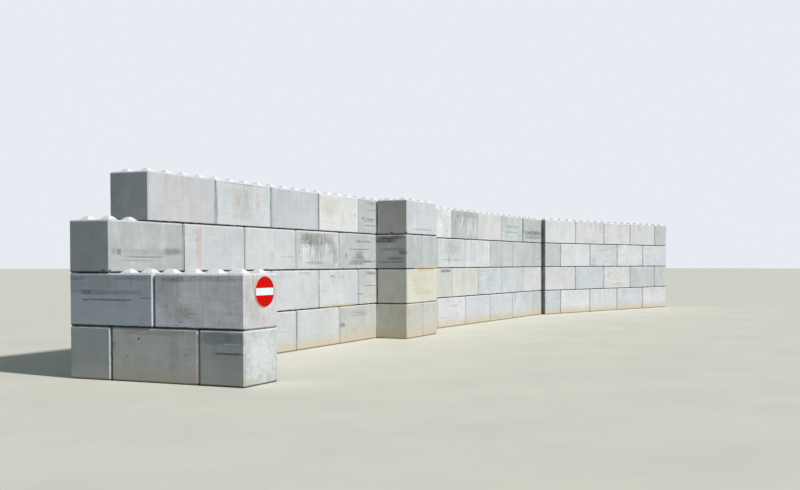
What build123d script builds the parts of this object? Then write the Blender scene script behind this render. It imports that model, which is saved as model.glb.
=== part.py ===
from build123d import *
from math import atan, degrees
import os

os.makedirs("parts", exist_ok=True)

# Interlocking concrete block wall, in millimetres.
# The origin is on the ground where the centre lines of the first bay and the wing cross.
# X runs along the first bay, away from the corner. The wing runs towards -Y. Z is up.

# Blocks stand on a square plan grid of cells: a half block is one cell, and so is a wall's thickness
cell = 800.0
full_block_cells = 2
course_height = 800.0
joint = 18.0
edge_chamfer = 22.0

# Nubs on the top of each block, so many along each side of a cell
nubs_per_cell = 2
nub_base = 235.0
nub_top = 80.0
nub_height = 70.0

# Grooves under each block, which drop over the nubs of the course below
nub_side_clearance = 10.0
nub_top_clearance = 10.0

# Runs of wall, in cells and courses
wall_courses = 4
wing_courses = 2
bay1_cells = 10
wing_cells = 4
pier_cells = 2
bay2_cells = 11
bay3_cells = 9

# Bays 2 and 3 stand by themselves, each turned a little and set hard against its neighbour
butt_gap = 0.3
bay2_setback = 50.0
bay2_angle = -3.7
bay3_angle = -23.0
bay3_projection = 170.0

# Round traffic sign on the end of the wing: a pressed plate with a rim turned back
sign_diameter = 450.0
sign_sheet = 2.5
sign_depth = 10.0
sign_from_corner = 470.0
sign_height = 1340.0

half_joint = joint / 2
nub_pitch = cell / nubs_per_cell
nub_slope = degrees(atan((nub_base - nub_top) / 2 / nub_height))
groove_width = nub_base + 2 * nub_side_clearance
groove_depth = nub_height + nub_top_clearance


def cast_block(cells):
    """A block some cells long, centred on the origin and standing on Z = 0."""
    with BuildPart() as cast:
        with BuildSketch():
            Rectangle(cells * cell - joint, cell - joint)
        extrude(amount=course_height)
        chamfer(cast.edges(), edge_chamfer)
        with BuildSketch(Plane.XY.offset(course_height)):
            with GridLocations(nub_pitch, nub_pitch, nubs_per_cell * cells, nubs_per_cell):
                Rectangle(nub_base, nub_base)
        extrude(amount=nub_height, taper=nub_slope)
        groove_length = (nubs_per_cell * cells - 1) * nub_pitch + groove_width
        with BuildSketch():
            with GridLocations(0, nub_pitch, 1, nubs_per_cell):
                Rectangle(groove_length, groove_width)
        extrude(amount=groove_depth, taper=nub_slope, mode=Mode.SUBTRACT)
    return cast.part


def run_of_wall(origin, angle=0.0):
    """The plane of a run: X along it, Y towards its back, its front lower corner at origin."""
    return Plane(origin=origin, x_dir=Vector(1, 0, 0).rotate(Axis.Z, angle), z_dir=(0, 0, 1))


def course_bond(start, end, first=full_block_cells):
    """The blocks that fill the cells from start to end, as (start cell, cells long)."""
    bond = []
    cells = first
    while start < end:
        cells = min(cells, end - start)
        bond.append((start, cells))
        start += cells
        cells = full_block_cells
    return bond


def seat(run, start, cells, course, row=0, across=False):
    """Where a block stands: on its course, from its start cell along the run or across it."""
    wide, deep = (1, cells) if across else (cells, 1)
    along = (start + wide / 2) * cell
    back = (row + deep / 2) * cell
    centre = run.from_local_coords((along, back, (course - 1) * course_height))
    return Plane(origin=centre, x_dir=run.y_dir if across else run.x_dir, z_dir=run.z_dir)


def write_node(part, name):
    part.label = name
    export_step(part, f"parts/{name}.step")


cast_blocks = {cells: cast_block(cells) for cells in range(1, full_block_cells + 1)}


def write_block(name, place, cells):
    """One block as a node of its own."""
    with BuildPart() as block:
        add(cast_blocks[cells].moved(place.location))
    write_node(block.part, name)


def write_course(name, run, course, bond):
    """One course of a bay as one node, its blocks apart from each other by the joint."""
    with BuildPart() as blocks:
        for start, cells in bond:
            add(cast_blocks[cells].moved(seat(run, start, cells, course).location))
    write_node(blocks.part, name)


# First bay: the corner cell of course 2 belongs to the wing, and course 4 is set back from it
corner = -cell / 2
bay1 = run_of_wall((corner, corner, 0))
for course in range(1, wall_courses + 1):
    first_cell = 0 if course % 2 else 1
    for number, (start, cells) in enumerate(course_bond(first_cell, bay1_cells), 1):
        place = seat(bay1, start, cells, course)
        write_block(f"bay1_course{course}_block{number}", place, cells)

# Wing: it starts behind the corner and runs forward, half as high as the bays
wing = run_of_wall((corner, corner + cell, 0), -90.0)
for course in range(1, wing_courses + 1):
    first_cell = 1 if course % 2 else 0
    for number, (start, cells) in enumerate(course_bond(first_cell, wing_cells), 1):
        place = seat(wing, start, cells, course)
        write_block(f"wing_course{course}_block{number}", place, cells)

# Pier: a square stack one cell proud of the wall, its blocks laid along and across in turn
pier_start = corner + bay1_cells * cell - joint + butt_gap
pier = run_of_wall((pier_start, corner - cell, 0))
for course in range(1, wall_courses + 1):
    across = course % 2 == 1
    for number in range(pier_cells):
        if across:
            place = seat(pier, number, pier_cells, course, across=True)
        else:
            place = seat(pier, 0, pier_cells, course, row=number)
        side = ("left", "right")[number] if across else ("front", "back")[number]
        write_block(f"pier_course{course}_{side}", place, pier_cells)

# Second bay: its front end corner touches the far face of the pier
pier_far_face = pier_start + pier_cells * cell - half_joint
bay2_at_origin = run_of_wall((0, 0, 0), bay2_angle)
bay2_touch = bay2_at_origin.from_local_coords((half_joint, half_joint + edge_chamfer, 0))
bay2_start = pier_far_face + butt_gap - bay2_touch.X
bay2 = run_of_wall((bay2_start, corner + bay2_setback, 0), bay2_angle)
for course in range(1, wall_courses + 1):
    first = full_block_cells if course % 2 else full_block_cells // 2
    bond = course_bond(0, bay2_cells, first)
    write_course(f"bay2_course{course}", bay2, course, bond)

# Third bay: turned further forward, its end face against the corner of the second bay
bay2_length = bay2_cells * cell - half_joint
bay2_end_corner = bay2.from_local_coords((bay2_length, half_joint, 0))
bay2_end_touch = bay2.from_local_coords((bay2_length, half_joint + edge_chamfer, 0))
bay3_at_origin = run_of_wall((0, 0, 0), bay3_angle)
bay3_along = bay3_at_origin.to_local_coords(bay2_end_touch).X + butt_gap - half_joint
bay3_back = bay3_at_origin.to_local_coords(bay2_end_corner).Y - bay3_projection - half_joint
bay3 = run_of_wall(bay3_at_origin.from_local_coords((bay3_along, bay3_back, 0)), bay3_angle)
for course in range(1, wall_courses + 1):
    first = full_block_cells // 2 if course % 2 else full_block_cells
    bond = course_bond(0, bay3_cells, first)
    write_course(f"bay3_course{course}", bay3, course, bond)

# Sign plate on the lit end of the wing
wing_end_face = corner + cell - wing_cells * cell + half_joint
sign_plane = Plane(
    origin=(corner + sign_from_corner, wing_end_face, sign_height),
    x_dir=(1, 0, 0),
    z_dir=(0, -1, 0),
)
with BuildPart() as sign_plate:
    with BuildSketch(sign_plane):
        Circle(sign_diameter / 2)
    extrude(amount=sign_depth)
    with BuildSketch(sign_plane):
        Circle(sign_diameter / 2 - sign_sheet)
    extrude(amount=sign_depth - sign_sheet, mode=Mode.SUBTRACT)
write_node(sign_plate.part, "no_entry_sign")
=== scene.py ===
"""Interlocking concrete block wall: its cast blocks, their wear and stains, painted shade and painted
highlights, and its traffic sign.
"""

import random
from math import pi, radians

import bmesh
import bpy
from mathutils import Matrix, Vector


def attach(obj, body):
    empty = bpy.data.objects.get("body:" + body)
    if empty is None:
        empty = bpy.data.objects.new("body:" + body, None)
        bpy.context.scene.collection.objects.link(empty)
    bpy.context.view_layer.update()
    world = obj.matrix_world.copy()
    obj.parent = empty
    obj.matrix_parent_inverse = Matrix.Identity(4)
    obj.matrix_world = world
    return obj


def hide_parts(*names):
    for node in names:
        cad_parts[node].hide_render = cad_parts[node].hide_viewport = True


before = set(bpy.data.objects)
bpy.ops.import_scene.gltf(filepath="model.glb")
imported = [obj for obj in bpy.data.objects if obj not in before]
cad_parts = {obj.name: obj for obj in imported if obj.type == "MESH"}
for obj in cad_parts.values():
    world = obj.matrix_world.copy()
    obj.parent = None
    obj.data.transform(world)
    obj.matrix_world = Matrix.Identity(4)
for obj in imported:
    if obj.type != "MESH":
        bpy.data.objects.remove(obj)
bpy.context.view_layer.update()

# Sizes in metres, as the part has them. The origin is where the centre lines of bay 1 and the wing cross.
CELL = 0.8
COURSE = 0.8
JOINT = 0.018
CHAMFER = 0.022
FULL, HALF = 2, 1
HALF_WIDTH = (CELL - JOINT) / 2

NUBS_PER_CELL = 2
NUB_PITCH = 0.4
NUB_BASE = 0.235
NUB_TOP = 0.080
NUB_HEIGHT = 0.070
NUB_CLEARANCE = 0.01

WALL_COURSES = 4
WING_COURSES = 2
BAY1_CELLS = 10
WING_CELLS = 4
PIER_CELLS = 2
BAY2_CELLS = 11
BAY3_CELLS = 9
BUTT_GAP = 0.0003
BAY2_SETBACK = 0.05
BAY2_ANGLE = radians(-3.7)
BAY3_ANGLE = radians(-23.0)
BAY3_PROJECTION = 0.17

SIGN_DIAMETER = 0.45
SIGN_DEPTH = 0.010
SIGN_SHEET = 0.0025
SIGN_FROM_CORNER = 0.47
SIGN_HEIGHT = 1.34

# A nub's steps from its foot up, as shares of its height and of its base
NUB_STEPS = ((0.06, 0.82), (0.50, 0.56), (0.87, 0.34), (1.0, 0.20))
NUB_SMOOTHING = 0.25
NUB_WEAR = 0.004

# Faces of the near blocks and of the far ones are about this wide
NEAR_GRID = 0.056
FAR_GRID = 0.095

# Wear of the cast faces and arrises, always inwards
WAVINESS = 0.004
ARRIS_WEAR = 0.005
SMOOTH_ANGLE = radians(35)

# Points are found by place to within a hair. A face looks along an axis if this much of its normal does.
HAIR = 0.001
SQUARELY = 0.9

# The blocks without a finish of their own, and the place of each block in the patterns, are drawn by lot
random.seed(7)


def deselect_all():
    if bpy.context.mode != "OBJECT":
        bpy.ops.object.mode_set(mode="OBJECT")
    bpy.ops.object.select_all(action="DESELECT")


def make_active(piece):
    deselect_all()
    piece.select_set(True)
    bpy.context.view_layer.objects.active = piece


def start_editing(piece):
    make_active(piece)
    bpy.ops.object.mode_set(mode="EDIT")
    bpy.ops.mesh.select_mode(type="FACE")


def settle(piece):
    """Puts the piece's place, turn and scale into its mesh."""
    make_active(piece)
    bpy.ops.object.transform_apply(location=True, rotation=True, scale=True)


def pick(piece, kind, chosen):
    """Selects the faces, edges or verts for which chosen says yes, and nothing else."""
    bpy.ops.mesh.select_all(action="DESELECT")
    shape = bmesh.from_edit_mesh(piece.data)
    for item in getattr(shape, kind):
        if chosen(item):
            item.select_set(True)
    bmesh.update_edit_mesh(piece.data)


def apply_modifier(piece, kind, **settings):
    modifier = piece.modifiers.new("work", kind)
    for name, value in settings.items():
        setattr(modifier, name, value)
    make_active(piece)
    bpy.ops.object.modifier_apply(modifier=modifier.name)


def box_piece(name, size, centre):
    """A box of that size, as a start for a piece or a cutter."""
    deselect_all()
    bpy.ops.mesh.primitive_cube_add(size=1, location=centre)
    piece = bpy.context.object
    piece.name = name
    piece.scale = size
    settle(piece)
    return piece


def delete(piece):
    make_active(piece)
    bpy.ops.object.delete()


def cut_out(block, cutter, **settings):
    """Takes the cutter's shape out of the block, and deletes the cutter."""
    apply_modifier(block, "BOOLEAN", operation="DIFFERENCE", solver="EXACT", object=cutter, **settings)
    delete(cutter)


def normal_along(axis):
    normal = Vector((0, 0, 0))
    normal[axis] = 1
    return normal


# Master blocks


def half_length(cells):
    return (cells * CELL - JOINT) / 2


def cut_lines(stops, spacing):
    """Places between the first stop and the last, the stops between them included, about a spacing apart."""
    lines = []
    for near, far in zip(stops, stops[1:]):
        count = max(1, round((far - near) / spacing))
        lines += [near + (far - near) * step / count for step in range(count)]
    return lines[1:]


def cut_across(axis, places):
    """Cuts the faces of the piece in edit mode at right angles to an axis, at each place along it."""
    for place in places:
        bpy.ops.mesh.select_all(action="SELECT")
        bpy.ops.mesh.bisect(plane_co=normal_along(axis) * place, plane_no=normal_along(axis))


def nub_centres(count):
    return [(index - (count - 1) / 2) * NUB_PITCH for index in range(count)]


def nub_edges(count):
    return [centre + side * NUB_BASE / 2 for centre in nub_centres(count) for side in (-1, 1)]


def raise_nub(block, x, y):
    """Draws one nub up from the top face in steps, each narrower than the one below it."""
    reach = NUB_BASE / 2 + HAIR

    def on_base(face):
        middle = face.calc_center_median()
        inside = abs(middle.x - x) < reach and abs(middle.y - y) < reach
        return inside and face.normal.z > SQUARELY and middle.z > COURSE - HAIR

    pick(block, "faces", on_base)
    height, width = 0.0, 1.0
    for next_height, next_width in NUB_STEPS:
        rise = (next_height - height) * NUB_HEIGHT
        bpy.ops.mesh.extrude_region_move(TRANSFORM_OT_translate={"value": (0, 0, rise)})
        share = next_width / width
        bpy.ops.transform.resize(value=(share, share, 1), center_override=(x, y, COURSE))
        height, width = next_height, next_width


def round_nubs(block):
    """Softens the nubs as worn concrete is, and brings them to their worn height."""
    pick(block, "verts", lambda vert: vert.co.z > COURSE + HAIR)
    bpy.ops.mesh.vertices_smooth(factor=NUB_SMOOTHING)
    bpy.ops.object.mode_set(mode="OBJECT")
    highest = max(vert.co.z for vert in block.data.vertices) - COURSE
    bpy.ops.object.mode_set(mode="EDIT")
    worn_height = NUB_HEIGHT - NUB_WEAR
    bpy.ops.transform.resize(value=(1, 1, worn_height / highest), center_override=(0, 0, COURSE))


def cut_grooves(block, nubs):
    """Takes out the two grooves under the block, which drop over the nubs of the course below."""
    width = NUB_BASE + 2 * NUB_CLEARANCE
    length = (nubs - 1) * NUB_PITCH + width
    depth = NUB_HEIGHT + NUB_CLEARANCE
    narrowing = depth * (NUB_BASE - NUB_TOP) / NUB_HEIGHT
    for y in nub_centres(NUBS_PER_CELL):
        bar = box_piece("groove", (length, width, 2 * depth), (0, y, 0))
        start_editing(bar)
        for side in (1, -1):
            pick(bar, "faces", lambda face: face.normal.z * side > SQUARELY)
            shares = (1 - side * narrowing / length, 1 - side * narrowing / width, 1)
            bpy.ops.transform.resize(value=shares, center_override=(0, y, 0))
        deselect_all()
        cut_out(block, bar)


def mark_arrises(block, end):
    """Names the points along the block's chamfered arrises, where it wears most."""
    arrises = block.vertex_groups.new(name="arrises")
    for vert in block.data.vertices:
        x, y, z = vert.co
        to_faces = sorted((end - abs(x), HALF_WIDTH - abs(y), min(z, COURSE - z)))
        if to_faces[0] > -HAIR and to_faces[1] < CHAMFER + HAIR:
            arrises.add([vert.index], 1.0, "REPLACE")


def cast_block(name, cells, grid):
    """A master block some cells long, centred on the origin and standing on Z = 0."""
    end = half_length(cells)
    nubs = NUBS_PER_CELL * cells
    block = box_piece(name, (2 * end, 2 * HALF_WIDTH, COURSE), (0, 0, COURSE / 2))
    start_editing(block)
    bpy.ops.mesh.select_all(action="SELECT")
    bpy.ops.mesh.bevel(offset=CHAMFER, segments=1)
    flat_x, flat_y = end - CHAMFER, HALF_WIDTH - CHAMFER
    cut_across(0, cut_lines([-flat_x, *nub_edges(nubs), flat_x], grid))
    cut_across(1, cut_lines([-flat_y, *nub_edges(NUBS_PER_CELL), flat_y], grid))
    cut_across(2, cut_lines([CHAMFER, COURSE - CHAMFER], grid))
    for x in nub_centres(nubs):
        for y in nub_centres(NUBS_PER_CELL):
            raise_nub(block, x, y)
    round_nubs(block)
    deselect_all()
    cut_grooves(block, nubs)
    mark_arrises(block, end)
    return block


masters = {
    (cells, grid): cast_block(f"master_{cells}_{index}", cells, grid)
    for cells in (FULL, HALF)
    for index, grid in enumerate((NEAR_GRID, FAR_GRID))
}


# Wear of the blocks


def clouds(name, size, depth=2, low=0.0, high=1.0):
    """A cloudy pattern, 0 up to the low level and 1 from the high one."""
    texture = bpy.data.textures.new(name, "CLOUDS")
    texture.noise_scale = size
    texture.noise_depth = depth
    texture.use_color_ramp = True
    ends = texture.color_ramp.elements
    ends[0].position, ends[0].color = low, (0, 0, 0, 1)
    ends[1].position, ends[1].color = high, (1, 1, 1, 1)
    return texture


waves = clouds("casting_waves", size=0.30)
nicks = clouds("arris_nicks", size=0.06, low=0.60, high=0.80)
rubble = clouds("rubble", size=0.03, depth=3)

# How rough a break is, as a share of its smallest half size
RUBBLE_SHARE = 0.5


def weather(block):
    """Gives a block its own slightly uneven faces and nicked arrises."""
    shared = {"texture_coords": "LOCAL", "direction": "NORMAL"}
    apply_modifier(block, "DISPLACE", texture=waves, strength=WAVINESS, mid_level=1.0, **shared)
    shared["vertex_group"] = "arrises"
    apply_modifier(block, "DISPLACE", texture=nicks, strength=-ARRIS_WEAR, mid_level=0.0, **shared)


def draw_back(block, distance):
    """Sets a block's front face back a little, where the block stands out of line with its neighbours."""
    edge = CHAMFER - HALF_WIDTH + HAIR
    start_editing(block)
    pick(block, "verts", lambda vert: vert.co.y < edge)
    bpy.ops.transform.translate(value=(0, distance, 0))
    deselect_all()


def break_out(block, cutter):
    """Takes the cutter's shape out of the block, and leaves broken concrete in its place."""
    cutter.data.materials.append(broken_concrete_in_shade)
    cut_out(block, cutter, material_mode="TRANSFER")


def spall(block, place, size):
    """Breaks a rough piece off the block round a point of its surface."""
    deselect_all()
    bpy.ops.mesh.primitive_ico_sphere_add(subdivisions=3, radius=1, location=place)
    lump = bpy.context.object
    lump.scale = size
    settle(lump)
    roughness = RUBBLE_SHARE * min(size)
    apply_modifier(
        lump, "DISPLACE", texture=rubble, strength=roughness, mid_level=0.5, texture_coords="LOCAL"
    )
    break_out(block, lump)


def bore_hole(block, place, diameter, depth):
    """A small hole straight into a wing block's front face."""
    deselect_all()
    bpy.ops.mesh.primitive_cylinder_add(
        vertices=20, radius=diameter / 2, depth=2 * depth, location=place, rotation=(0, pi / 2, 0)
    )
    drill = bpy.context.object
    settle(drill)
    break_out(block, drill)


# Node trees


class Recipe:
    """A node tree filled by short calls. An input is a number, a colour or another node's output."""

    def __init__(self, tree):
        self.tree = tree

    def node(self, kind, inputs=(), **settings):
        made = self.tree.nodes.new("ShaderNode" + kind)
        for name, value in settings.items():
            setattr(made, name, value)
        for name, value in dict(inputs).items():
            if isinstance(value, bpy.types.NodeSocket):
                self.tree.links.new(value, made.inputs[name])
            else:
                made.inputs[name].default_value = value
        return made

    def math(self, operation, first, second=0.0):
        return self.node("Math", {0: first, 1: second}, operation=operation).outputs[0]

    def times(self, first, second):
        return self.math("MULTIPLY", first, second)

    def less(self, first, second):
        return self.math("SUBTRACT", first, second)

    def total(self, first, *others):
        for other in others:
            first = self.math("ADD", first, other)
        return first

    def sway(self, pattern, strength):
        """Goes from half the strength below zero to half above it, as the pattern goes from 0 to 1."""
        return self.times(self.less(pattern, 0.5), strength)

    def rise(self, value, low, high, start=0.0, end=1.0):
        """Goes smoothly from start to end as the value goes from low to high."""
        inputs = {0: value, 1: low, 2: high, 3: start, 4: end}
        return self.node("MapRange", inputs, interpolation_type="SMOOTHSTEP").outputs[0]

    def vector(self, operation, first, second):
        return self.node("VectorMath", {0: first, 1: second}, operation=operation).outputs[0]

    def parts(self, vector):
        return self.node("SeparateXYZ", {0: vector}).outputs

    def noise(self, spot, scale, detail, roughness, distortion=0.0):
        inputs = {
            "Vector": spot, "Scale": scale, "Detail": detail,
            "Roughness": roughness, "Distortion": distortion,
        }
        return self.node("TexNoise", inputs).outputs[0]

    def drawn_noise(self, spot, grain, detail, roughness, distortion=0.0):
        """Noise drawn out into streaks: the grain is its scale along X, Y and Z."""
        return self.noise(self.vector("MULTIPLY", spot, grain), 1.0, detail, roughness, distortion)

    def blend(self, share, under, over):
        return self.node("Mix", {0: share, 6: under, 7: over}, data_type="RGBA").outputs[2]

    def scaled(self, colour, factor):
        return self.node("VectorMath", {0: colour, "Scale": factor}, operation="SCALE").outputs[0]


def new_group(name, inputs, outputs):
    """A node group with those sockets. Returns its recipe, what it is given and what it has to fill."""
    tree = bpy.data.node_groups.new(name, "ShaderNodeTree")
    for way, sockets in (("INPUT", inputs), ("OUTPUT", outputs)):
        for label, kind in sockets.items():
            tree.interface.new_socket(label, in_out=way, socket_type="NodeSocket" + kind)
    given = tree.nodes.new("NodeGroupInput").outputs
    result = tree.nodes.new("NodeGroupOutput").inputs
    return Recipe(tree), given, result


# Stains, and the colours of painted shade, painted highlight and painted bounce light
GRIME_AND_PAINTED_SHADE = (0.20, 0.205, 0.19, 1)
# Soot; also the near-black of painted shade in joints, air holes and shaded end faces
SOOT_AND_PAINTED_SHADE = (0.035, 0.036, 0.034, 1)
DAMP_AND_PAINTED_SHADE = (0.16, 0.21, 0.235, 1)
SILT_AND_PAINTED_SHADE = (0.36, 0.34, 0.29, 1)
SAND = (0.66, 0.56, 0.38, 1)
OCHRE = (0.60, 0.52, 0.40, 1)
RUST = (0.62, 0.34, 0.27, 1)
LIME_AND_PAINTED_HIGHLIGHT = (0.86, 0.87, 0.87, 1)
DUST_AND_PAINTED_LIGHT = (0.66, 0.64, 0.58, 1)
# Near-white of the painted highlight on the nubs, also used for a white streak on one block
NUB_HIGHLIGHT_AND_STREAK_WHITE = (0.90, 0.91, 0.91, 1)

# Patterns in the cast face: scale, detail, roughness and distortion of each
CLOUDY = (1.5, 4, 0.55, 0.4)
PATCHY = (6.0, 5, 0.6, 0.3)
GRAINY = (38.0, 4, 0.65)
SANDY = (210.0, 2, 0.6)

# How far each of them sways the shade, and its relief in metres
CLOUD_SHADE, CLOUD_RELIEF = 0.30, 0.0015
PATCH_SHADE, PATCH_RELIEF = 0.24, 0.0016
GRAIN_SHADE, GRAIN_RELIEF = 0.27, 0.0008
SANDY_SHADE, SANDY_RELIEF = 0.12, 0.0003
RUB_DEPTH = 0.004
PIT_DEPTH = 0.004

# Streaks in the cast face: the grain along X, Y and Z of each kind
UPRIGHT_STRIPES, LEVEL_STRIPES = (32.0, 32.0, 1.3), (1.3, 1.3, 32.0)
BLOOM_GRAIN = (2.6, 2.6, 1.1)
RUN_GRAIN = (15.0, 15.0, 0.8)
BAND_GRAIN = (1.3, 1.3, 16.0)

# Air holes of two sizes: how many to the metre, how rare, and how wide as a share of their spacing
AIR_HOLES = ((11.0, 0.55, 0.055), (26.0, 0.62, 0.09))

# Where the pale arris, partly rubbed wear and partly painted highlight, fades out from the arris, in metres
RUBBED_AND_LIT_BAND = (0.012, 0.032)
RUB_RAGGEDNESS = 0.05

# Where the painted shade of the joints fades out, in metres from the block's foot, from its left end and
# from its front
BED_JOINT_SHADE = (-0.006, 0.012)
END_JOINT_SHADE = (0.014, 0.023)
FRONT_JOINT_SHADE = (0.018, 0.024)

# Where sandy dirt fades out, in metres above the ground, and how far its patches move that
SPLASH = (-0.16, 0.16)
SPLASH_RAGGEDNESS = -0.35

# A plain finish: how strong each kind of wear, painted shade and painted highlight is on a block, and how
# far down its dark runs reach
PLAIN = {
    "mottling": 1.0, "bloom": 0.25, "runs": 0.12, "reach": 0.6, "bands": 0.12,
    "sand": 0.55, "pits": 0.6, "wear": 0.45, "gap": 0.2,
}


def concrete_group():
    """Cast concrete on a block, with painted shade in its joints and air holes and painted highlights on its
    nubs and arrises. Place is measured from the middle of the block's foot, in metres.
    """
    recipe, given, result = new_group(
        "cast_concrete",
        {
            "Place": "Vector", "Seed": "Vector", "Colour": "Color", "Ground Height": "Float",
            "Half Length": "Float", **{label.capitalize(): "Float" for label in PLAIN},
        },
        {"Colour": "Color", "Roughness": "Float", "Height": "Float"},
    )
    place = given["Place"]
    spot = recipe.vector("ADD", place, given["Seed"])
    x, y, z = recipe.parts(place)

    # Shades of the cast face, from cloudy patches down to grains of sand
    cloud = recipe.noise(spot, *CLOUDY)
    patch = recipe.noise(spot, *PATCHY)
    grain = recipe.noise(spot, *GRAINY)
    sandy = recipe.noise(spot, *SANDY)
    tone = recipe.total(
        recipe.sway(cloud, CLOUD_SHADE), recipe.sway(patch, PATCH_SHADE), recipe.sway(grain, GRAIN_SHADE)
    )
    for stripes, strength in ((UPRIGHT_STRIPES, 0.16), (LEVEL_STRIPES, 0.13)):
        tone = recipe.total(tone, recipe.sway(recipe.drawn_noise(spot, stripes, 3, 0.6), strength))
    tone = recipe.total(recipe.times(tone, given["Mottling"]), recipe.sway(sandy, SANDY_SHADE))
    colour = recipe.scaled(given["Colour"], recipe.total(tone, 1.0))

    # Pale lime bloom in soft upright patches
    bloom = recipe.rise(recipe.drawn_noise(spot, BLOOM_GRAIN, 5, 0.6), 0.50, 0.70)
    colour = recipe.blend(recipe.times(bloom, given["Bloom"]), colour, LIME_AND_PAINTED_HIGHLIGHT)

    # Dark runs down from the top arris, finer and rarer lower down, and none on the nubs
    run = recipe.rise(recipe.drawn_noise(spot, RUN_GRAIN, 4, 0.65), 0.46, 0.66)
    ragged_z = recipe.total(z, recipe.sway(patch, 0.5))
    run = recipe.times(run, recipe.rise(ragged_z, recipe.less(COURSE, given["Reach"]), COURSE))
    run = recipe.times(run, recipe.rise(z, COURSE, COURSE + 0.01, 1.0, 0.0))
    colour = recipe.blend(recipe.times(run, given["Runs"]), colour, GRIME_AND_PAINTED_SHADE)

    # Grey bands along the block, where damp stood in the mould
    band = recipe.rise(recipe.drawn_noise(spot, BAND_GRAIN, 4, 0.6), 0.50, 0.72)
    band = recipe.times(band, recipe.rise(recipe.noise(spot, 2.1, 2, 0.5), 0.42, 0.60))
    colour = recipe.blend(recipe.times(band, given["Bands"]), colour, GRIME_AND_PAINTED_SHADE)

    # Distance to the nearest arris: the middle one of the three distances to the block's faces
    across_x = recipe.less(given["Half Length"], recipe.math("ABSOLUTE", x))
    across_y = recipe.less(HALF_WIDTH, recipe.math("ABSOLUTE", y))
    across_z = recipe.less(COURSE / 2, recipe.math("ABSOLUTE", recipe.less(z, COURSE / 2)))
    lower = recipe.math("MINIMUM", across_x, across_y)
    upper = recipe.math("MAXIMUM", across_x, across_y)
    arris = recipe.math("MAXIMUM", lower, recipe.math("MINIMUM", upper, across_z))

    # Arrises are painted pale: partly rubbed wear, partly a painted highlight on the lit chamfers
    rough_arris = recipe.total(arris, recipe.sway(grain, RUB_RAGGEDNESS))
    rubbed_and_lit_arris = recipe.rise(rough_arris, *RUBBED_AND_LIT_BAND, 1.0, 0.0)
    colour = recipe.blend(recipe.times(rubbed_and_lit_arris, given["Wear"]), colour, LIME_AND_PAINTED_HIGHLIGHT)

    # Air holes: round pits of a few millimetres, here and there, painted near-black inside as painted shade
    pits = 0.0
    for scale, rarest, width in AIR_HOLES:
        cells = recipe.node("TexVoronoi", {"Vector": spot, "Scale": scale})
        chance = recipe.parts(cells.outputs["Color"])[0]
        size = recipe.times(recipe.rise(chance, rarest, 1.0), width)
        pits = recipe.math("MAXIMUM", pits, recipe.math("LESS_THAN", cells.outputs["Distance"], size))
    pits = recipe.times(pits, given["Pits"])
    colour = recipe.blend(pits, colour, SOOT_AND_PAINTED_SHADE)

    # Dust on what faces up
    upward = recipe.parts(recipe.node("NewGeometry").outputs["Normal"])[2]
    dusty = recipe.times(recipe.rise(upward, 0.80, 0.98), recipe.rise(patch, 0.30, 0.62, 0.15, 0.75))
    colour = recipe.blend(dusty, colour, DUST_AND_PAINTED_LIGHT)

    # Painted highlight: the nubs are painted near-white, standing in for the sun on their flanks
    nub = recipe.rise(z, COURSE + HAIR, COURSE + 0.012, 0.0, 0.85)
    colour = recipe.blend(nub, colour, NUB_HIGHLIGHT_AND_STREAK_WHITE)

    # Painted shade in the joints: near-black on the chamfer under the block, and in the upright joint at its
    # left end
    uneven = recipe.total(recipe.times(grain, 0.02), recipe.times(patch, 0.03))
    bed = recipe.rise(recipe.less(z, uneven), *BED_JOINT_SHADE, 0.96, 0.0)
    from_left = recipe.total(x, given["Half Length"])
    upright = recipe.times(recipe.rise(from_left, *END_JOINT_SHADE, 1.0, 0.0), given["Gap"])
    upright = recipe.times(upright, recipe.rise(across_y, *FRONT_JOINT_SHADE, 1.0, 0.0))
    colour = recipe.blend(recipe.math("MAXIMUM", bed, upright), colour, SOOT_AND_PAINTED_SHADE)

    # Sandy dirt splashed on the foot of the wall
    high = recipe.total(given["Ground Height"], recipe.times(patch, SPLASH_RAGGEDNESS))
    splash = recipe.times(recipe.rise(high, *SPLASH, 1.0, 0.0), recipe.rise(grain, 0.30, 0.60, 0.55, 1.0))
    colour = recipe.blend(recipe.times(splash, given["Sand"]), colour, SAND)

    relief = recipe.total(
        recipe.times(cloud, CLOUD_RELIEF), recipe.times(patch, PATCH_RELIEF),
        recipe.times(grain, GRAIN_RELIEF), recipe.times(sandy, SANDY_RELIEF),
        recipe.times(rubbed_and_lit_arris, recipe.times(grain, -RUB_DEPTH)),
    )
    recipe.tree.links.new(colour, result["Colour"])
    recipe.tree.links.new(recipe.rise(patch, 0.2, 0.8, 0.80, 0.96), result["Roughness"])
    recipe.tree.links.new(recipe.less(relief, recipe.times(pits, PIT_DEPTH)), result["Height"])
    return recipe.tree


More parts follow.
